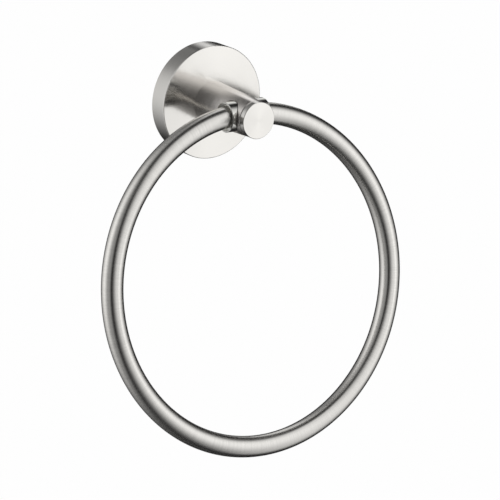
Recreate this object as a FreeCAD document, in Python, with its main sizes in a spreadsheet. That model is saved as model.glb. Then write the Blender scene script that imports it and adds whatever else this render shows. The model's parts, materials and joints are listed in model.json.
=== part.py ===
import FreeCAD, Part
import math
import os
import Sketcher

# Towel ring on a round wall rose, all in brushed stainless steel.
# The origin is where the post's axis meets the wall. The wall is the plane
# y = 0 and the ring stands out towards -Y, with +X to the right and +Z up.
# The ring hangs from a polished barrel that turns in a bore across the post.
# It is drawn swung a little way out from the wall, as it was pictured.

# Driving dimensions in millimetres, and one angle in degrees.
SIZES = [
    ("rose_diameter", 54.0),
    ("rose_depth", 10.0),
    ("rose_wall", 2.0),
    ("rose_front", 2.0),
    ("rose_edge_round", 0.4),
    ("rose_screw_diameter", 4.0),
    ("rose_screw_sunk", 0.4),
    ("rose_screw_key", 2.0),
    ("rose_screw_tip", 0.8),
    ("bracket_thickness", 5.0),
    ("bracket_floor", 1.5),
    ("bracket_gap", 0.3),
    ("rim_groove_depth", 1.5),
    ("slot_length", 9.0),
    ("slot_width", 5.0),
    ("slot_margin", 2.7),
    ("slot_seat_border", 2.5),
    ("slot_seat_depth", 2.2),
    ("post_base_diameter", 20.4),
    ("post_tip_diameter", 17.2),
    ("pivot_out", 36.0),
    ("nose_wall", 1.95),
    ("bearing_length", 9.0),
    ("bearing_relief", 0.35),
    ("spigot_diameter", 12.0),
    ("spigot_flat", 4.6),
    ("spigot_gap", 0.05),
    ("spigot_short", 0.2),
    ("thread_gap", 0.05),
    ("post_screw_diameter", 6.0),
    ("post_screw_length", 13.0),
    ("post_screw_spare", 1.0),
    ("post_screw_bevel", 0.5),
    ("post_screw_head_diameter", 10.5),
    ("post_screw_head_height", 3.3),
    ("post_screw_head_gap", 1.0),
    ("post_screw_key", 4.0),
    ("key_depth", 2.0),
    ("washer_diameter", 12.0),
    ("washer_thickness", 1.2),
    ("washer_gap", 0.2),
    ("washer_notch", 1.2),
    ("cap_thickness", 3.0),
    ("cap_edge", 0.2),
    ("seam_chamfer", 0.35),
    ("stud_diameter", 6.0),
    ("stud_gap", 0.3),
    ("keeper_diameter", 3.0),
    ("keeper_side_gap", 0.1),
    ("keeper_end_gap", 0.3),
    ("keeper_groove_depth", 1.5),
    ("barrel_web", 7.0),
    ("barrel_edge", 0.15),
    ("running_gap", 0.05),
    ("collar_reach", 2.0),
    ("collar_rim", 0.6),
    ("collar_mouth_gap", 1.4),
    ("collar_recess", 1.5),
    ("ring_outer_diameter", 165.0),
    ("ring_rise", 0.6),
    ("tube_diameter", 10.0),
    ("tube_wall", 1.0),
    ("braze_gap", 0.05),
    ("swing_out", 11.5),
]

WASHER_TEETH = 12
HEX_SIDES = 6
FULL_TURN = "360 deg"

# How far off a point may lie and still count as on an edge, in millimetres.
EDGE_TOLERANCE = 0.001

doc = FreeCAD.newDocument("towel_ring")
sheet = doc.addObject("Spreadsheet::Sheet", "Sizes")
for row, (alias, value) in enumerate(SIZES, start=1):
    sheet.set("A%d" % row, alias)
    sheet.set("B%d" % row, str(value))
    sheet.setAlias("B%d" % row, alias)
doc.recompute()

# Lengths and radii that several pieces share, as formulas on the sheet.
ROSE_INNER_RADIUS = "(Sizes.rose_diameter / 2 - Sizes.rose_wall)"
ROSE_INNER_DEPTH = "(Sizes.rose_depth - Sizes.rose_front)"
BRACKET_RADIUS = "(%s - Sizes.bracket_gap)" % ROSE_INNER_RADIUS
BRACKET_MIDDLE = "(Sizes.bracket_thickness / 2)"
POST_TIP_RADIUS = "(Sizes.post_tip_diameter / 2)"
TUBE_RADIUS = "(Sizes.tube_diameter / 2)"
MOUTH_RADIUS = "(%s + Sizes.collar_mouth_gap)" % TUBE_RADIUS
BARREL_RADIUS = "(%s + Sizes.collar_rim)" % MOUTH_RADIUS
BORE_RADIUS = "(%s + Sizes.running_gap)" % BARREL_RADIUS
POST_END = "(Sizes.pivot_out + %s + Sizes.nose_wall)" % BORE_RADIUS
SPIGOT_END = "(%s + Sizes.spigot_short)" % ROSE_INNER_DEPTH
SCREW_SEAT = "(%s - Sizes.washer_thickness)" % ROSE_INNER_DEPTH
RING_RADIUS = "((Sizes.ring_outer_diameter - Sizes.tube_diameter) / 2)"
RING_DROP = "(%s - Sizes.ring_rise)" % RING_RADIUS
WEB_ANGLE = "asin(Sizes.barrel_web / 2 / %s)" % RING_RADIUS
COLLAR_END = "(%s + Sizes.collar_reach)" % POST_TIP_RADIUS


def new_body(label):
    """One physical piece, which is also one exported file."""
    body = doc.addObject("PartDesign::Body", label)
    body.Label = label
    return body


def origin_part(body, role):
    """The body's own origin plane or axis with that role."""
    return [part for part in body.Origin.OriginFeatures if part.Role == role][0]


def sketch_on(body, plane, name, lift="0"):
    """Sketch on an origin plane of the body, raised along the plane's normal."""
    sketch = body.newObject("Sketcher::SketchObject", name)
    sketch.AttachmentSupport = [(origin_part(body, plane), "")]
    sketch.MapMode = "FlatFace"
    sketch.setExpression("AttachmentOffset.Base.z", lift)
    return sketch


def dimension(sketch, constraint, formula):
    """Adds a dimension to the sketch and ties it to the sheet."""
    number = sketch.addConstraint(constraint)
    sketch.setExpression("Constraints[%d]" % number, formula)


def place_point(sketch, shape, point, across, up):
    """Holds one point of a sketched shape at two distances from the origin."""
    dimension(sketch, Sketcher.Constraint("DistanceX", -1, 1, shape, point, 1.0), across)
    dimension(sketch, Sketcher.Constraint("DistanceY", -1, 1, shape, point, 1.0), up)


def outline(sketch, corners):
    """Closed outline of straight edges, each corner given by two formulas."""
    count = len(corners)
    turn = 2 * math.pi / count
    start = [FreeCAD.Vector(math.cos(turn * i), math.sin(turn * i), 0) for i in range(count)]
    lines = [sketch.addGeometry(Part.LineSegment(start[i], start[(i + 1) % count]), False)
             for i in range(count)]
    for i, (across, up) in enumerate(corners):
        sketch.addConstraint(Sketcher.Constraint("Coincident", lines[i], 2, lines[(i + 1) % count], 1))
        place_point(sketch, lines[i], 1, across, up)


def circle(sketch, across, up, diameter):
    """Circle with its centre and diameter tied to the sheet."""
    shape = sketch.addGeometry(Part.Circle(FreeCAD.Vector(1, 1, 0), FreeCAD.Vector(0, 0, 1), 1), False)
    place_point(sketch, shape, 3, across, up)
    dimension(sketch, Sketcher.Constraint("Diameter", shape, 2.0), diameter)


def flatted_circle(sketch, gap):
    """The spigot's round outline with one flat below, larger all round by a gap."""
    radius = sheet.spigot_diameter / 2
    corner = math.asin(sheet.spigot_flat / radius)
    full = Part.Circle(FreeCAD.Vector(0, 0, 0), FreeCAD.Vector(0, 0, 1), radius)
    rim = sketch.addGeometry(Part.ArcOfCircle(full, -corner, math.pi + corner), False)
    right, left = sketch.Geometry[rim].StartPoint, sketch.Geometry[rim].EndPoint
    chord = sketch.addGeometry(Part.LineSegment(left, right), False)
    sketch.addConstraint(Sketcher.Constraint("Coincident", rim, 3, -1, 1))
    sketch.addConstraint(Sketcher.Constraint("Coincident", rim, 1, chord, 2))
    sketch.addConstraint(Sketcher.Constraint("Coincident", rim, 2, chord, 1))
    sketch.addConstraint(Sketcher.Constraint("Horizontal", chord))
    size = Sketcher.Constraint("Diameter", rim, 2 * radius)
    dimension(sketch, size, "Sizes.spigot_diameter + 2 * %s" % gap)
    height = Sketcher.Constraint("DistanceY", -1, 1, chord, 1, left.y)
    dimension(sketch, height, "-(Sizes.spigot_flat + %s)" % gap)


def hexagon(sketch, key):
    """Six-sided key socket, measured across its flats."""
    corners = []
    for i in range(HEX_SIDES):
        angle = "%d deg" % (i * 360 / HEX_SIDES)
        across = "%s / sqrt(3) * cos(%s)" % (key, angle)
        up = "%s / sqrt(3) * sin(%s)" % (key, angle)
        corners.append((across, up))
    outline(sketch, corners)


def revolve(body, kind, sketch, axis, name, angle=FULL_TURN):
    """Revolution or Groove of a sketch about one of the sketch's axes."""
    feature = body.newObject("PartDesign::" + kind, name)
    feature.Profile = sketch
    feature.ReferenceAxis = (sketch, [axis])
    feature.setExpression("Angle", angle)
    return feature


def extrude(body, kind, sketch, name, length=None, reverse=False, both=False):
    """Pad or Pocket of a sketch; with no length it runs through everything."""
    feature = body.newObject("PartDesign::" + kind, name)
    feature.Profile = sketch
    feature.Reversed = reverse
    feature.Midplane = both
    if length is None:
        feature.Type = "ThroughAll"
    else:
        feature.Type = "Length"
        feature.setExpression("Length", length)
    return feature


def edges_where(feature, test):
    """Names of the edges whose ends and middle all pass the test."""
    names = []
    for number, edge in enumerate(feature.Shape.Edges, start=1):
        middle = edge.valueAt((edge.FirstParameter + edge.LastParameter) / 2)
        points = [vertex.Point for vertex in edge.Vertexes] + [middle]
        if all(test(point) for point in points):
            names.append("Edge%d" % number)
    return names


def near(value, target):
    """Whether two lengths are the same, within the tolerance for edges."""
    return abs(value - target) < EDGE_TOLERANCE


def hang_on_pivot(body):
    """Moves a piece drawn about the pivot to the post, swung out from the wall."""
    body.Placement = FreeCAD.Placement(
        FreeCAD.Vector(0, 0, 0), FreeCAD.Rotation(FreeCAD.Vector(-1, 0, 0), sheet.swing_out))
    body.setExpression("Placement.Base.y", "-Sizes.pivot_out")
    body.setExpression("Placement.Rotation.Angle", "Sizes.swing_out * 1 deg")


def make_wall_bracket():
    """Turned disc that is screwed to the wall and that the rose drops over.

    A groove of V section round its rim takes the point of the rose's screw,
    and two long holes with sunk seats take the wall screws.
    """
    body = new_body("wall_bracket")
    pocket_radius = "(Sizes.post_screw_head_diameter / 2 + Sizes.post_screw_head_gap)"
    groove_floor = "%s - Sizes.rim_groove_depth" % BRACKET_RADIUS
    profile = sketch_on(body, "XY_Plane", "bracket_profile")
    outline(profile, [
        ("0", "0"),
        (BRACKET_RADIUS, "0"),
        (BRACKET_RADIUS, "-(%s - Sizes.rim_groove_depth)" % BRACKET_MIDDLE),
        (groove_floor, "-%s" % BRACKET_MIDDLE),
        (BRACKET_RADIUS, "-(%s + Sizes.rim_groove_depth)" % BRACKET_MIDDLE),
        (BRACKET_RADIUS, "-Sizes.bracket_thickness"),
        (pocket_radius, "-Sizes.bracket_thickness"),
        (pocket_radius, "-Sizes.bracket_floor"),
        ("0", "-Sizes.bracket_floor"),
    ])
    revolve(body, "Revolution", profile, "V_Axis", "bracket_disc")
    seat_length = "(Sizes.slot_length + 2 * Sizes.slot_seat_border)"
    seat_width = "(Sizes.slot_width + 2 * Sizes.slot_seat_border)"
    middle = "(%s - Sizes.slot_margin - %s / 2)" % (BRACKET_RADIUS, seat_length)
    cut_slots(body, "slots", middle, "Sizes.slot_length", "Sizes.slot_width", None)
    cut_slots(body, "seats", middle, seat_length, seat_width, "Sizes.slot_seat_depth")
    return body


def cut_slots(body, name, middle, length, width, depth):
    """Cuts a long hole with round ends into the bracket's front on each side."""
    inner, sides, outer = [
        sketch_on(body, "XZ_Plane", "%s_%s" % (name, place), "Sizes.bracket_thickness")
        for place in ("inner_ends", "sides", "outer_ends")]
    half = "(%s - %s) / 2" % (length, width)
    low, high = "-%s / 2" % width, "%s / 2" % width
    for side in ("-1", "1"):
        start = "%s * (%s - %s)" % (side, middle, half)
        end = "%s * (%s + %s)" % (side, middle, half)
        circle(inner, start, "0", width)
        outline(sides, [(start, low), (end, low), (end, high), (start, high)])
        circle(outer, end, "0", width)
    for sketch in (inner, sides, outer):
        extrude(body, "Pocket", sketch, "cut_" + sketch.Label, depth)


def make_rose():
    """Round cover: a cup turned from stainless bar, open towards the wall."""
    body = new_body("rose")
    profile = sketch_on(body, "XY_Plane", "cup_profile")
    outline(profile, [
        ("Sizes.rose_diameter / 2", "0"),
        ("Sizes.rose_diameter / 2", "-Sizes.rose_depth"),
        ("0", "-Sizes.rose_depth"),
        ("0", "-%s" % ROSE_INNER_DEPTH),
        (ROSE_INNER_RADIUS, "-%s" % ROSE_INNER_DEPTH),
        (ROSE_INNER_RADIUS, "0"),
    ])
    revolve(body, "Revolution", profile, "V_Axis", "cup")
    hole = sketch_on(body, "XZ_Plane", "spigot_hole", "Sizes.rose_depth")
    flatted_circle(hole, "Sizes.spigot_gap")
    extrude(body, "Pocket", hole, "cut_spigot_hole")
    tapped = sketch_on(body, "XY_Plane", "screw_hole")
    circle(tapped, "0", "-%s" % BRACKET_MIDDLE, "Sizes.rose_screw_diameter + 2 * Sizes.thread_gap")
    cut = extrude(body, "Pocket", tapped, "cut_screw_hole")
    doc.recompute()
    front_rim = edges_where(cut, lambda point: near(point.y, -sheet.rose_depth)
                            and near(math.hypot(point.x, point.z), sheet.rose_diameter / 2))
    edge = body.newObject("PartDesign::Fillet", "front_edge")
    edge.Base = (cut, front_rim)
    edge.setExpression("Radius", "Sizes.rose_edge_round")
    return body


def make_rose_screw():
    """Set screw under the rose, its cone point drawn into the bracket's groove."""
    body = new_body("rose_set_screw")
    low = "(Sizes.rose_diameter / 2 - Sizes.rose_screw_sunk)"
    point = "(%s - Sizes.rim_groove_depth + Sizes.rose_screw_tip / 2)" % BRACKET_RADIUS
    shoulder = "(%s + Sizes.rose_screw_diameter / 2 - Sizes.rose_screw_tip / 2)" % point
    profile = sketch_on(body, "XZ_Plane", "set_screw_profile")
    outline(profile, [
        ("0", "-%s" % low),
        ("Sizes.rose_screw_diameter / 2", "-%s" % low),
        ("Sizes.rose_screw_diameter / 2", "-%s" % shoulder),
        ("Sizes.rose_screw_tip / 2", "-%s" % point),
        ("0", "-%s" % point),
    ])
    revolve(body, "Revolution", profile, "V_Axis", "set_screw")
    key = sketch_on(body, "XY_Plane", "set_screw_key", "-%s" % low)
    hexagon(key, "Sizes.rose_screw_key")
    extrude(body, "Pocket", key, "cut_key", "Sizes.rose_screw_key / 2", reverse=True)
    body.setExpression("Placement.Base.y", "-%s" % BRACKET_MIDDLE)
    return body


def make_post():
    """Tapered post with a flatted spigot, a cross bore and two tapped holes.

    The bore carries the barrel over its middle length, and is relieved
    towards each mouth, which leaves a fine dark line round the collars.
    """
    body = new_body("post")
    profile = sketch_on(body, "XY_Plane", "post_profile")
    outline(profile, [
        ("0", "-Sizes.rose_depth"),
        ("Sizes.post_base_diameter / 2", "-Sizes.rose_depth"),
        (POST_TIP_RADIUS, "-(%s - Sizes.seam_chamfer)" % POST_END),
        ("%s - Sizes.seam_chamfer" % POST_TIP_RADIUS, "-%s" % POST_END),
        ("0", "-%s" % POST_END),
    ])
    revolve(body, "Revolution", profile, "V_Axis", "tapered_bar")
    spigot = sketch_on(body, "XZ_Plane", "spigot_outline", "Sizes.rose_depth")
    flatted_circle(spigot, "0")
    extrude(body, "Pad", spigot, "spigot", "Sizes.rose_front - Sizes.spigot_short", reverse=True)
    back = sketch_on(body, "XZ_Plane", "post_screw_hole", SPIGOT_END)
    circle(back, "0", "0", "Sizes.post_screw_diameter + 2 * Sizes.thread_gap")
    back_depth = "%s + Sizes.post_screw_length - %s + Sizes.post_screw_spare" % (SCREW_SEAT, SPIGOT_END)
    extrude(body, "Pocket", back, "cut_post_screw_hole", back_depth, reverse=True)
    nose = sketch_on(body, "XZ_Plane", "stud_hole", POST_END)
    circle(nose, "0", "0", "Sizes.stud_diameter + 2 * Sizes.thread_gap")
    extrude(body, "Pocket", nose, "cut_stud_hole", "%s - Sizes.pivot_out" % POST_END)
    across = sketch_on(body, "YZ_Plane", "cross_bore")
    circle(across, "-Sizes.pivot_out", "0", "2 * %s" % BORE_RADIUS)
    extrude(body, "Pocket", across, "cut_cross_bore", both=True)
    for name, side in (("right", 1), ("left", -1)):
        relief = sketch_on(body, "YZ_Plane", name + "_relief", "%d * Sizes.bearing_length / 2" % side)
        circle(relief, "-Sizes.pivot_out", "0", "2 * (%s + Sizes.bearing_relief)" % BORE_RADIUS)
        extrude(body, "Pocket", relief, "cut_%s_relief" % name, reverse=side > 0)
    return body


def make_post_screw():
    """Socket head screw that pulls the post against the rose from inside."""
    body = new_body("post_screw")
    head_end = "(%s - Sizes.post_screw_head_height)" % SCREW_SEAT
    tip = "(%s + Sizes.post_screw_length)" % SCREW_SEAT
    profile = sketch_on(body, "XY_Plane", "post_screw_profile")
    outline(profile, [
        ("0", "-%s" % head_end),
        ("Sizes.post_screw_head_diameter / 2", "-%s" % head_end),
        ("Sizes.post_screw_head_diameter / 2", "-%s" % SCREW_SEAT),
        ("Sizes.post_screw_diameter / 2", "-%s" % SCREW_SEAT),
        ("Sizes.post_screw_diameter / 2", "-(%s - Sizes.post_screw_bevel)" % tip),
        ("Sizes.post_screw_diameter / 2 - Sizes.post_screw_bevel", "-%s" % tip),
        ("0", "-%s" % tip),
    ])
    revolve(body, "Revolution", profile, "V_Axis", "screw")
    key = sketch_on(body, "XZ_Plane", "post_screw_key", head_end)
    hexagon(key, "Sizes.post_screw_key")
    extrude(body, "Pocket", key, "cut_key", "Sizes.key_depth", reverse=True)
    return body


def make_lock_washer():
    """Toothed washer under the screw's head, notched all round its rim."""
    body = new_body("lock_washer")
    disc = sketch_on(body, "XZ_Plane", "washer_outline", ROSE_INNER_DEPTH)
    circle(disc, "0", "0", "Sizes.washer_diameter")
    circle(disc, "0", "0", "Sizes.post_screw_diameter + 2 * Sizes.washer_gap")
    extrude(body, "Pad", disc, "washer_disc", "Sizes.washer_thickness", reverse=True)
    notch = sketch_on(body, "XZ_Plane", "washer_notch", ROSE_INNER_DEPTH)
    rim = "(Sizes.washer_diameter / 2 + Sizes.washer_notch / 4)"
    outline(notch, [
        ("-Sizes.washer_notch / 2", rim),
        ("0", "%s - Sizes.washer_notch" % rim),
        ("Sizes.washer_notch / 2", rim),
    ])
    cut = extrude(body, "Pocket", notch, "cut_notch")
    doc.recompute()
    teeth = body.newObject("PartDesign::PolarPattern", "teeth")
    teeth.Originals = [cut]
    teeth.Axis = (notch, ["N_Axis"])
    teeth.Angle = 360
    teeth.Occurrences = WASHER_TEETH
    body.Tip = teeth
    return body


def make_end_cap():
    """Flat disc closing the post, with a stud whose keeper pin holds the barrel.

    Both rims of the seam behind the disc are chamfered, which leaves a fine
    line round the post.
    """
    body = new_body("end_cap")
    face = "(%s + Sizes.cap_thickness)" % POST_END
    stud_end = "(Sizes.pivot_out + %s + Sizes.stud_gap)" % BORE_RADIUS
    keeper_end = "(Sizes.pivot_out + %s - Sizes.keeper_groove_depth + Sizes.keeper_end_gap)" % BARREL_RADIUS
    profile = sketch_on(body, "XY_Plane", "cap_profile")
    outline(profile, [
        ("0", "-%s" % face),
        ("%s - Sizes.cap_edge" % POST_TIP_RADIUS, "-%s" % face),
        (POST_TIP_RADIUS, "-(%s - Sizes.cap_edge)" % face),
        (POST_TIP_RADIUS, "-(%s + Sizes.seam_chamfer)" % POST_END),
        ("%s - Sizes.seam_chamfer" % POST_TIP_RADIUS, "-%s" % POST_END),
        ("Sizes.stud_diameter / 2", "-%s" % POST_END),
        ("Sizes.stud_diameter / 2", "-%s" % stud_end),
        ("Sizes.keeper_diameter / 2", "-%s" % stud_end),
        ("Sizes.keeper_diameter / 2", "-%s" % keeper_end),
        ("0", "-%s" % keeper_end),
    ])
    revolve(body, "Revolution", profile, "V_Axis", "cap")
    return body


def sketch_axis(sketch, up):
    """Construction line level across the sketch; returns its name as an axis."""
    line = sketch.addGeometry(
        Part.LineSegment(FreeCAD.Vector(-5, -1, 0), FreeCAD.Vector(5, -1, 0)), True)
    place_point(sketch, line, 1, "-%s" % TUBE_RADIUS, up)
    place_point(sketch, line, 2, TUBE_RADIUS, up)
    return "Axis0"


def tilt_about_ring_axis(sketch, angle):
    """Turns an upright sketch about the ring's own axis, below the pivot."""
    sketch.AttachmentOffset = FreeCAD.Placement(
        FreeCAD.Vector(0, 0, 0), FreeCAD.Rotation(FreeCAD.Vector(1, 0, 0), 1))
    sketch.setExpression("AttachmentOffset.Rotation.Angle", angle)
    sketch.setExpression("AttachmentOffset.Base.y", "-%s * (1 - cos(%s))" % (RING_DROP, angle))
    sketch.setExpression("AttachmentOffset.Base.z", "%s * sin(%s)" % (RING_DROP, angle))


def make_swivel_barrel():
    """Polished barrel in the cross bore, which carries the ring's two ends.

    Each end shows outside the post as a short collar with a recessed mouth.
    A curved socket behind each mouth follows the ring's own arc, and the
    solid web between the sockets has a groove round it for the keeper pin.
    """
    body = new_body("swivel_barrel")
    groove_radius = "(%s - Sizes.keeper_groove_depth)" % BARREL_RADIUS
    groove_half = "(Sizes.keeper_diameter / 2 + Sizes.keeper_side_gap)"
    recess_floor = "(%s - Sizes.collar_recess)" % COLLAR_END
    right_half = [
        (groove_half, groove_radius),
        (groove_half, BARREL_RADIUS),
        ("(%s - Sizes.barrel_edge)" % COLLAR_END, BARREL_RADIUS),
        (COLLAR_END, "%s - Sizes.barrel_edge" % BARREL_RADIUS),
        (COLLAR_END, MOUTH_RADIUS),
        (recess_floor, MOUTH_RADIUS),
        (recess_floor, "0"),
    ]
    left_half = [("-%s" % along, out) for along, out in reversed(right_half)]
    profile = sketch_on(body, "XZ_Plane", "barrel_profile")
    outline(profile, right_half + left_half)
    revolve(body, "Revolution", profile, "H_Axis", "turned_barrel")
    socket = sketch_on(body, "YZ_Plane", "socket_section")
    axis_line = sketch_axis(socket, "-%s" % RING_DROP)
    circle(socket, "0", "Sizes.ring_rise", "Sizes.tube_diameter + 2 * Sizes.braze_gap")
    tilt_about_ring_axis(socket, WEB_ANGLE)
    past_the_mouth = "2 * asin(%s / %s)" % (COLLAR_END, RING_RADIUS)
    cut = revolve(body, "Groove", socket, axis_line, "cut_socket", past_the_mouth)
    doc.recompute()
    both = body.newObject("PartDesign::Mirrored", "both_sockets")
    both.Originals = [cut]
    both.MirrorPlane = (origin_part(body, "YZ_Plane"), [""])
    body.Tip = both
    hang_on_pivot(body)
    return body


def make_ring():
    """Round tube bent to a ring, open at the top where its ends meet the web."""
    body = new_body("ring")
    section = sketch_on(body, "YZ_Plane", "tube_section")
    axis_line = sketch_axis(section, "-%s" % RING_DROP)
    lowest = "-(%s + %s)" % (RING_DROP, RING_RADIUS)
    circle(section, "0", lowest, "Sizes.tube_diameter")
    circle(section, "0", lowest, "Sizes.tube_diameter - 2 * Sizes.tube_wall")
    bent = revolve(body, "Revolution", section, axis_line, "bent_tube", "360 deg - 2 * %s" % WEB_ANGLE)
    bent.Midplane = True
    hang_on_pivot(body)
    return body


pieces = [
    make_wall_bracket(),
    make_rose(),
    make_rose_screw(),
    make_post(),
    make_post_screw(),
    make_lock_washer(),
    make_end_cap(),
    make_swivel_barrel(),
    make_ring(),
]
doc.recompute()

for item in doc.Objects:
    if "Invalid" in item.State or "Error" in item.State:
        raise RuntimeError("%s did not build" % item.Label)
    if item.TypeId in ("PartDesign::Pocket", "PartDesign::Groove"):
        if item.Shape.Volume >= item.BaseFeature.Shape.Volume:
            raise RuntimeError("%s removes nothing" % item.Label)
for piece in pieces:
    if piece.Shape.isNull() or not piece.Shape.isValid() or len(piece.Shape.Solids) != 1:
        raise RuntimeError("%s is not one sound solid" % piece.Label)

os.makedirs("parts", exist_ok=True)
for piece in pieces:
    piece.Shape.exportStep("parts/%s.step" % piece.Label)
    box = piece.Shape.BoundBox
    print("%-16s volume %9.1f  x %7.2f %7.2f  y %7.2f %7.2f  z %8.2f %7.2f" % (
        piece.Label, piece.Shape.Volume, box.XMin, box.XMax, box.YMin, box.YMax, box.ZMin, box.ZMax))
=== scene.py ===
import bpy
import json
import math
from mathutils import Matrix, Vector


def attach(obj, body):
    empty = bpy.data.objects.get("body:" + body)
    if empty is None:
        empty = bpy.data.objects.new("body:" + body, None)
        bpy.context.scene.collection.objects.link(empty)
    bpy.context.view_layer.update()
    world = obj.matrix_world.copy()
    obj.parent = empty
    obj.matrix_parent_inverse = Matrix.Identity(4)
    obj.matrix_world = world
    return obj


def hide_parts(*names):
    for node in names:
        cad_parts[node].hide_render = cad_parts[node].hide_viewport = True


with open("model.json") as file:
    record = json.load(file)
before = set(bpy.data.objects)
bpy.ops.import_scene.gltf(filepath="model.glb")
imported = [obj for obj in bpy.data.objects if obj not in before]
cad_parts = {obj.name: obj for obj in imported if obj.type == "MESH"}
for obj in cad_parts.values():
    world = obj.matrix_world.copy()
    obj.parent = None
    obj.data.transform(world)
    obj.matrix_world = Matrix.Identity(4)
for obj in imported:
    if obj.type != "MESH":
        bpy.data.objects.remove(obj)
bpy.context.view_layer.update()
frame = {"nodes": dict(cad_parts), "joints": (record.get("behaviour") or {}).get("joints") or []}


# Wall bracket.
# Disc turned from steel bar and zinc plated, screwed flat to the wall through
# its two long holes. Only its back and the holes show, from behind the rose.

MM = 0.001

# A round line has its stated length at this radius, and is shorter further in.
LINE_RADIUS_MM = 20.0
LINE_DETAIL = 3.0
LINE_BREAKUP = 0.6

# Nearly all of a noise pattern's values lie between these two.
LINES_LOW = 0.3
LINES_HIGH = 0.7
MARKS_LOW = 0.35
MARKS_HIGH = 0.65

MARK_MM = 9.0
MARK_SPREAD = 0.006
MARK_DETAIL = 2.0
MARK_BREAKUP = 0.5

ZINC_LINE_MM = 0.35
ZINC_LINE_LENGTH_MM = 14.0


def linear(hex_colour):
    """An sRGB hex colour as the linear values that a shader takes."""
    channels = []
    for start in (1, 3, 5):
        value = int(hex_colour[start:start + 2], 16) / 255
        low = value / 12.92
        high = ((value + 0.055) / 1.055) ** 2.4
        channels.append(low if value <= 0.04045 else high)
    return (*channels, 1.0)


def add_node(material, kind, links=None, **settings):
    """Adds a shader node; each of its links is a value or another node's output."""
    node = material.node_tree.nodes.new(kind)
    for name, value in settings.items():
        setattr(node, name, value)
    for name, value in (links or {}).items():
        if isinstance(value, bpy.types.NodeSocket):
            material.node_tree.links.new(value, node.inputs[name])
        else:
            node.inputs[name].default_value = value
    return node


def new_material(name):
    """Empty node material of that name."""
    material = bpy.data.materials.new(name)
    material.use_nodes = True
    material.node_tree.nodes.clear()
    return material


def turned_lines(material, axis, line_mm, length_mm):
    """Height of the fine lines that a tool or belt leaves round a turned piece.

    The noise is stretched round the axis: it changes quickly along the radius
    and along the axis, and slowly round the piece, with no seam. Real turned
    lines are near 0.05 mm. They are drawn some six times coarser, because finer
    ones would be lost in the picture.
    """
    place = add_node(material, "ShaderNodeTexCoord").outputs["Object"]
    along_axis = Vector((1, 0, 0)) if axis == "X" else Vector((0, 1, 0))
    flat = add_node(material, "ShaderNodeVectorMath", {
        0: place, 1: Vector((1, 1, 1)) - along_axis}, operation="MULTIPLY")
    axial = add_node(material, "ShaderNodeVectorMath", {
        0: place, 1: along_axis}, operation="DOT_PRODUCT")
    radius = add_node(material, "ShaderNodeVectorMath", {0: flat.outputs["Vector"]}, operation="LENGTH")
    turns = add_node(material, "ShaderNodeVectorMath", {0: flat.outputs["Vector"]}, operation="NORMALIZE")
    per_metre = 1 / (line_mm * MM)
    across = add_node(material, "ShaderNodeMath", {
        0: radius.outputs["Value"], 1: per_metre}, operation="MULTIPLY")
    down = add_node(material, "ShaderNodeMath", {
        0: axial.outputs["Value"], 1: per_metre}, operation="MULTIPLY")
    around = add_node(material, "ShaderNodeVectorMath", {
        0: turns.outputs["Vector"], "Scale": LINE_RADIUS_MM / length_mm}, operation="SCALE")
    lift = add_node(material, "ShaderNodeVectorMath", {
        0: along_axis, "Scale": across.outputs[0]}, operation="SCALE")
    spot = add_node(material, "ShaderNodeVectorMath", {
        0: around.outputs["Vector"], 1: lift.outputs["Vector"]}, operation="ADD")
    noise = add_node(material, "ShaderNodeTexNoise", {
        "Vector": spot.outputs["Vector"], "W": down.outputs[0], "Scale": 1.0,
        "Detail": LINE_DETAIL, "Roughness": LINE_BREAKUP}, noise_dimensions="4D")
    return noise.outputs["Fac"]


def brushed_metal(material, colour, roughness, lines, line_spread, line_depth, shade=0.98):
    """Shader of a metal whose fine lines vary its gloss, height and shade a little.

    The lowest lines keep the given shade of the colour. Faint cloudy marks of
    handling vary the gloss too.
    """
    place = add_node(material, "ShaderNodeTexCoord").outputs["Object"]
    marks = add_node(material, "ShaderNodeTexNoise", {
        "Vector": place, "Scale": 1 / (MARK_MM * MM), "Detail": MARK_DETAIL, "Roughness": MARK_BREAKUP})
    brushed = add_node(material, "ShaderNodeMapRange", {
        "Value": lines, "From Min": LINES_LOW, "From Max": LINES_HIGH,
        "To Min": roughness - line_spread, "To Max": roughness + line_spread})
    marked = add_node(material, "ShaderNodeMapRange", {
        "Value": marks.outputs["Fac"], "From Min": MARKS_LOW, "From Max": MARKS_HIGH,
        "To Min": -MARK_SPREAD, "To Max": MARK_SPREAD})
    gloss = add_node(material, "ShaderNodeMath", {
        0: brushed.outputs["Result"], 1: marked.outputs["Result"]}, operation="ADD")
    bump = add_node(material, "ShaderNodeBump", {
        "Height": lines, "Strength": 1.0, "Distance": line_depth})
    shading = add_node(material, "ShaderNodeMapRange", {
        "Value": lines, "From Min": LINES_LOW, "From Max": LINES_HIGH, "To Min": shade, "To Max": 1.0})
    shaded = add_node(material, "ShaderNodeVectorMath", {
        0: colour[:3], "Scale": shading.outputs["Result"]}, operation="SCALE")
    shader = add_node(material, "ShaderNodeBsdfPrincipled", {
        "Base Color": shaded.outputs["Vector"], "Metallic": 1.0,
        "Roughness": gloss.outputs[0], "Normal": bump.outputs["Normal"]})
    add_node(material, "ShaderNodeOutputMaterial", {"Surface": shader.outputs["BSDF"]})
    return shader


def stretch_gloss(material, shader, axis, anisotropy, turn):
    """Stretches the highlight as fine lines do; a quarter turn is for lines round the axis."""
    tangent = add_node(material, "ShaderNodeTangent", direction_type="RADIAL", axis=axis)
    material.node_tree.links.new(tangent.outputs["Tangent"], shader.inputs["Tangent"])
    shader.inputs["Anisotropic"].default_value = anisotropy
    shader.inputs["Anisotropic Rotation"].default_value = turn


def finish_node(name, material):
    """Gives a CAD piece its finish."""
    for slot in frame["nodes"][name].material_slots:
        slot.material = material


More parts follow.
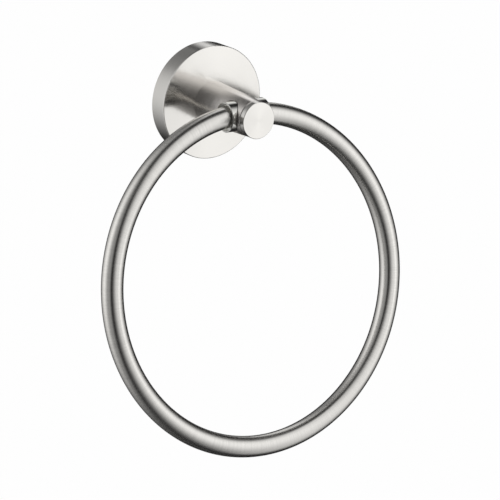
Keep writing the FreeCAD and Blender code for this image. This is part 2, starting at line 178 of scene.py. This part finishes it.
# Bright zinc plate on turned steel: a cool, slightly blue grey with a soft
# shine, in which the tool's rings just show.
zinc_plate = new_material("bright_zinc_plate")
zinc_lines = turned_lines(zinc_plate, "Y", ZINC_LINE_MM, ZINC_LINE_LENGTH_MM)
zinc_shader = brushed_metal(
    zinc_plate, linear("#D4D8DC"), roughness=0.5,
    lines=zinc_lines, line_spread=0.06, line_depth=0.004 * MM)
stretch_gloss(zinc_plate, zinc_shader, "Y", anisotropy=0.4, turn=0.25)
finish_node("wall_bracket", zinc_plate)


# Post screw, lock washer and set screw.
# Plain stainless fasteners, cold formed and machined. The screw pulls the post
# against the rose from inside, and the set screw holds the rose to the bracket.

SCREW_LINE_MM = 0.3
SCREW_LINE_LENGTH_MM = 6.0

# Stainless as it leaves the tool: a duller, middle grey that mirrors nothing.
screw_steel = new_material("plain_screw_steel")
screw_lines = turned_lines(screw_steel, "Y", SCREW_LINE_MM, SCREW_LINE_LENGTH_MM)
brushed_metal(
    screw_steel, linear("#A4A4A2"), roughness=0.38,
    lines=screw_lines, line_spread=0.08, line_depth=0.003 * MM)
for fastener in ("post_screw", "lock_washer", "rose_set_screw"):
    finish_node(fastener, screw_steel)


# Rose and end cap.
# Turned from stainless steel bar and finished on the lathe with a fine pad, so
# that faint rings run round their faces.

SATIN_LINE_MM = 0.3
SATIN_LINE_LENGTH_MM = 20.0

# Satin stainless: the fine rings draw each reflection out across them, so that
# the faces glow evenly and the post's image in the rose is long and soft.
satin_stainless = new_material("satin_stainless_turned")
satin_lines = turned_lines(satin_stainless, "Y", SATIN_LINE_MM, SATIN_LINE_LENGTH_MM)
satin_shader = brushed_metal(
    satin_stainless, linear("#DDDBD7"), roughness=0.15,
    lines=satin_lines, line_spread=0.03, line_depth=0.0008 * MM)
stretch_gloss(satin_stainless, satin_shader, "Y", anisotropy=0.8, turn=0.25)
for piece in ("rose", "end_cap"):
    finish_node(piece, satin_stainless)


# Post.
# Tapered stainless bar, brushed round with a coarser belt than the rose. It
# stands on the rose's middle and is pulled down by the post screw.

POST_LINE_MM = 0.3
POST_LINE_LENGTH_MM = 20.0

# Brushed stainless: broad, blurred light and dark bands run down the post.
brushed_stainless = new_material("brushed_stainless_post")
post_lines = turned_lines(brushed_stainless, "Y", POST_LINE_MM, POST_LINE_LENGTH_MM)
post_shader = brushed_metal(
    brushed_stainless, linear("#DFDBD7"), roughness=0.22,
    lines=post_lines, line_spread=0.04, line_depth=0.001 * MM)
stretch_gloss(brushed_stainless, post_shader, "Y", anisotropy=0.85, turn=0.25)
finish_node("post", brushed_stainless)


# Swivel barrel.
# Turned stainless barrel, polished bright. It turns in the post's cross bore,
# and its two ends show as short collars that hold the tube.

BARREL_LINE_MM = 0.3
BARREL_LINE_LENGTH_MM = 12.0

# Polished stainless: nearly a mirror, with hard edged dark and light bands.
polished_stainless = new_material("polished_stainless_turned")
barrel_lines = turned_lines(polished_stainless, "X", BARREL_LINE_MM, BARREL_LINE_LENGTH_MM)
barrel_shader = brushed_metal(
    polished_stainless, linear("#C9C8C4"), roughness=0.12,
    lines=barrel_lines, line_spread=0.02, line_depth=0.0004 * MM)
stretch_gloss(polished_stainless, barrel_shader, "X", anisotropy=0.3, turn=0.25)
finish_node("swivel_barrel", polished_stainless)


# Ring.
# Stainless tube bent to a circle and belt brushed, so that fine lines run
# round the tube. Its two ends are brazed into the barrel.

SWING_OUT = math.radians(11.5)
TUBE_RADIUS = 5.0 * MM
TUBE_WALL = 1.0 * MM
RING_RADIUS = 77.5 * MM

# The top of the tube's middle line is this far above the barrel's axis, and
# each tube end stops this far from the barrel's middle.
RING_RISE = 0.6 * MM
WEB_HALF = 3.5 * MM

TUBE_LINE_MM = 0.6
TUBE_LINE_LENGTH_MM = 6.0
RING_STEPS = 360
TUBE_STEPS = 64
pivot = Vector(frame["joints"][0]["pos_m"])


def bent_tube(name, start, end):
    """Tube round the circle from one angle to the other, open inside."""
    corners = []
    faces = []
    for step in range(RING_STEPS + 1):
        turn = start + (end - start) * step / RING_STEPS
        outward = Vector((math.sin(turn), 0, math.cos(turn)))
        for radius in (TUBE_RADIUS, TUBE_RADIUS - TUBE_WALL):
            for side in range(TUBE_STEPS):
                angle = 2 * math.pi * side / TUBE_STEPS
                reach = RING_RADIUS + radius * math.cos(angle)
                corners.append(outward * reach + Vector((0, radius * math.sin(angle), 0)))
    loop = 2 * TUBE_STEPS
    for step in range(RING_STEPS):
        for side in range(TUBE_STEPS):
            following = (side + 1) % TUBE_STEPS
            here, there = step * loop, (step + 1) * loop
            faces.append((here + side, here + following, there + following, there + side))
            here, there = here + TUBE_STEPS, there + TUBE_STEPS
            faces.append((here + side, there + side, there + following, here + following))
    for step, flip in ((0, False), (RING_STEPS, True)):
        for side in range(TUBE_STEPS):
            following = (side + 1) % TUBE_STEPS
            outer, inner = step * loop, step * loop + TUBE_STEPS
            face = (outer + side, inner + side, inner + following, outer + following)
            faces.append(face[::-1] if flip else face)
    mesh = bpy.data.meshes.new(name)
    mesh.from_pydata(corners, [], faces)
    for face in mesh.polygons:
        face.use_smooth = True
    mesh.update()
    return mesh


def tube_lines(material):
    """Height of the fine lines that a belt leaves round the tube, all along the ring.

    The noise changes quickly on the way along the ring and slowly round the
    tube's own section. Real belt lines are near 0.1 mm. They are drawn at
    0.6 mm, about a pixel of the picture, so that they just show.
    """
    place = add_node(material, "ShaderNodeTexCoord").outputs["Object"]
    flat = add_node(material, "ShaderNodeVectorMath", {
        0: place, 1: (1, 0, 1)}, operation="MULTIPLY")
    along = add_node(material, "ShaderNodeVectorMath", {0: flat.outputs["Vector"]}, operation="NORMALIZE")
    steps = add_node(material, "ShaderNodeVectorMath", {
        0: along.outputs["Vector"], "Scale": RING_RADIUS / (TUBE_LINE_MM * MM)}, operation="SCALE")
    section = add_node(material, "ShaderNodeVectorMath", {
        0: place, 1: (0, 1, 0)}, operation="MULTIPLY")
    slow = add_node(material, "ShaderNodeVectorMath", {
        0: section.outputs["Vector"], "Scale": 1 / (TUBE_LINE_LENGTH_MM * MM)}, operation="SCALE")
    spot = add_node(material, "ShaderNodeVectorMath", {
        0: steps.outputs["Vector"], 1: slow.outputs["Vector"]}, operation="ADD")
    noise = add_node(material, "ShaderNodeTexNoise", {
        "Vector": spot.outputs["Vector"], "Scale": 1.0,
        "Detail": LINE_DETAIL, "Roughness": LINE_BREAKUP})
    return noise.outputs["Fac"]


end_angle = math.asin(WEB_HALF / RING_RADIUS)
ring = bpy.data.objects.new("ring_tube", bent_tube("ring_tube", end_angle, 2 * math.pi - end_angle))
bpy.context.scene.collection.objects.link(ring)
drop = Matrix.Translation((0, 0, RING_RISE - RING_RADIUS))
ring.matrix_world = Matrix.Translation(pivot) @ Matrix.Rotation(SWING_OUT, 4, (-1, 0, 0)) @ drop

# Brushed stainless: the lines draw each reflection out along the ring, so that
# long bands of light and dark follow it round, finely streaked across. The
# roughness stays under 0.27, because a denoised picture shows grain where it
# varies across that value.
brushed_tube = new_material("brushed_stainless_tube")
tube_shader = brushed_metal(
    brushed_tube, linear("#E1DFDB"), roughness=0.248,
    lines=tube_lines(brushed_tube), line_spread=0.015, line_depth=0.0008 * MM, shade=0.88)
stretch_gloss(brushed_tube, tube_shader, "Y", anisotropy=0.95, turn=0.0)
ring.data.materials.append(brushed_tube)
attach(ring, "swing_ring")
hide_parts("ring")


# Studio.
# Pale floor far below the ring, under a white sky. Out of the picture, a dark
# tent with large soft boxes in it stands round the object, and only the metal
# sees it.

FLOOR_HEIGHT = -1000 * MM
FLOOR_HALF = 5000 * MM
FLOOR_GLOW = 0.5

# White paint. The camera and the reflections see half of it as plain white, so
# that it looks as pale as the sky. It lights the object as matt paint does.
floor_paint = new_material("pale_floor")
ray = add_node(floor_paint, "ShaderNodeLightPath")
seen = add_node(floor_paint, "ShaderNodeMath", {
    0: ray.outputs["Is Camera Ray"], 1: ray.outputs["Is Glossy Ray"]}, operation="ADD")
seen = add_node(floor_paint, "ShaderNodeMath", {
    0: seen.outputs[0], 1: ray.outputs["Is Transmission Ray"]}, operation="ADD")
share = add_node(floor_paint, "ShaderNodeMath", {0: seen.outputs[0], 1: FLOOR_GLOW}, operation="MULTIPLY")
matt = add_node(floor_paint, "ShaderNodeBsdfDiffuse", {"Color": linear("#FDFDFD")})
glow = add_node(floor_paint, "ShaderNodeEmission", {"Color": linear("#FFFFFF"), "Strength": 1.0})
mix = add_node(floor_paint, "ShaderNodeMixShader", {
    "Fac": share.outputs[0], 1: matt.outputs["BSDF"], 2: glow.outputs["Emission"]})
add_node(floor_paint, "ShaderNodeOutputMaterial", {"Surface": mix.outputs["Shader"]})

floor_mesh = bpy.data.meshes.new("floor")
floor_mesh.from_pydata(
    [(-FLOOR_HALF, -FLOOR_HALF, FLOOR_HEIGHT), (FLOOR_HALF, -FLOOR_HALF, FLOOR_HEIGHT),
     (FLOOR_HALF, FLOOR_HALF, FLOOR_HEIGHT), (-FLOOR_HALF, FLOOR_HALF, FLOOR_HEIGHT)],
    [], [(0, 1, 2, 3)])
floor = bpy.data.objects.new("floor", floor_mesh)
floor.data.materials.append(floor_paint)
bpy.context.scene.collection.objects.link(floor)

TENT_RADIUS = 900 * MM
LAYER_GAP = 10 * MM

# In degrees: where the camera stands round the object, counted from its front,
# how wide a card's faces are, and how far the tent overlaps itself at its seam
# and its poles, so that it is closed.
CAMERA_AZIMUTH = -35.1
CARD_STEP = 3
TENT_LAP = 5


def smooth_rise(reach):
    """Rises softly from 0 to 1 while the reach goes from 0 to 1."""
    reach = min(max(reach, 0.0), 1.0)
    return reach * reach * (3 - 2 * reach)


def soft_card(name, layer, azimuths, elevations, side_fades, end_fades, brightness):
    """Curved card round the object that only its metal sees.

    Azimuths go to the right from the camera, and all the angles are in
    degrees. The card fades out towards its left and right sides and its
    lower and upper ends. A higher layer stands nearer and covers the lower.
    """
    left, right = azimuths
    low, high = elevations
    distance = TENT_RADIUS - layer * LAYER_GAP
    columns = round((right - left) / CARD_STEP)
    rows = round((high - low) / CARD_STEP)
    corners = []
    cover = []
    for row in range(rows + 1):
        elevation = low + (high - low) * row / rows
        for column in range(columns + 1):
            azimuth = left + (right - left) * column / columns
            turn = math.radians(azimuth + CAMERA_AZIMUTH)
            climb = math.radians(elevation)
            corners.append(distance * Vector((
                math.cos(climb) * math.sin(turn), -math.cos(climb) * math.cos(turn), math.sin(climb))))
            cover.append(smooth_rise((azimuth - left) / side_fades[0])
                         * smooth_rise((right - azimuth) / side_fades[1])
                         * smooth_rise((elevation - low) / end_fades[0])
                         * smooth_rise((high - elevation) / end_fades[1]))
    faces = []
    for row in range(rows):
        for column in range(columns):
            first = row * (columns + 1) + column
            faces.append((first, first + 1, first + columns + 2, first + columns + 1))
    mesh = bpy.data.meshes.new(name)
    mesh.from_pydata(corners, [], faces)
    mesh.attributes.new("cover", "FLOAT", "POINT").data.foreach_set("value", cover)
    paint = new_material(name)
    covered = add_node(paint, "ShaderNodeAttribute", attribute_name="cover")
    clear = add_node(paint, "ShaderNodeBsdfTransparent")
    lit = add_node(paint, "ShaderNodeEmission", {"Color": linear("#FFFFFF"), "Strength": brightness})
    blend = add_node(paint, "ShaderNodeMixShader", {
        "Fac": covered.outputs["Fac"], 1: clear.outputs["BSDF"], 2: lit.outputs["Emission"]})
    add_node(paint, "ShaderNodeOutputMaterial", {"Surface": blend.outputs["Shader"]})
    # Only the metal's own rays look for the card: as bright, and much quicker.
    paint.cycles.emission_sampling = "NONE"
    mesh.materials.append(paint)
    card = bpy.data.objects.new(name, mesh)
    bpy.context.scene.collection.objects.link(card)
    card.visible_camera = False
    card.visible_diffuse = False
    card.visible_shadow = False


# Closed all round, for the dark outlines of the tube, post and barrel.
soft_card("dark_tent", layer=0,
          azimuths=(-180 - TENT_LAP, 180 + TENT_LAP), elevations=(-90 - TENT_LAP, 90 + TENT_LAP),
          side_fades=(1, 1), end_fades=(1, 1), brightness=0.03)

# The light on the tube's left flank and on the left of the rose's side.
soft_card("left_box", layer=1, azimuths=(-155, -15), elevations=(-80, 90),
          side_fades=(85, 55), end_fades=(80, 65), brightness=1.3)

# The dark band to the left of the tube's middle.
soft_card("left_shade", layer=2, azimuths=(-90, -5), elevations=(-75, 65),
          side_fades=(60, 25), end_fades=(60, 45), brightness=0.35)

# The bright band to the right of the tube's middle.
soft_card("right_box", layer=3, azimuths=(-5, 135), elevations=(-75, 75),
          side_fades=(60, 60), end_fades=(90, 25), brightness=1.1)

# The nearly white faces of the rose and the cap.
soft_card("right_strip", layer=4, azimuths=(60, 120), elevations=(-75, 40),
          side_fades=(10, 90), end_fades=(25, 10), brightness=1.6)

# The bright patch at the top of the rose's side, the dark one beside it, and
# the faint light to its left.
soft_card("back_box", layer=5, azimuths=(155, 195), elevations=(10, 90),
          side_fades=(35, 25), end_fades=(10, 35), brightness=2.2)
soft_card("back_shade", layer=6, azimuths=(165, 185), elevations=(-45, 20),
          side_fades=(10, 5), end_fades=(20, 15), brightness=0.0)
soft_card("back_glow", layer=7, azimuths=(190, 250), elevations=(10, 55),
          side_fades=(10, 25), end_fades=(15, 25), brightness=0.25)

world = bpy.data.worlds.new("studio")
world.use_nodes = True
background = world.node_tree.nodes["Background"]
background.inputs["Color"].default_value = linear("#FFFFFF")
background.inputs["Strength"].default_value = 1.0
bpy.context.scene.world = world


# Camera.
# It stands to the front left and a little above, with a long lens, as fitted to
# the outlines of the rose, the cap and the ring in the photograph.

CAMERA_PLACE = Vector((-551.1, -828.5, 244.6)) * MM
CAMERA_TURN = math.radians(-35.12)
CAMERA_DIP = math.radians(17.77)
CAMERA_ROLL = math.radians(2.21)
FOCAL_LENGTH_MM = 156.41
SENSOR_WIDTH_MM = 36.0

camera = bpy.data.objects.new("camera", bpy.data.cameras.new("camera"))
bpy.context.scene.collection.objects.link(camera)
camera.data.lens = FOCAL_LENGTH_MM
camera.data.sensor_width = SENSOR_WIDTH_MM
camera.matrix_world = (Matrix.Translation(CAMERA_PLACE)
                       @ Matrix.Rotation(CAMERA_TURN, 4, "Z")
                       @ Matrix.Rotation(math.pi / 2 - CAMERA_DIP, 4, "X")
                       @ Matrix.Rotation(CAMERA_ROLL, 4, "Z"))
bpy.context.scene.camera = camera
bpy.context.scene.view_settings.view_transform = "Standard"
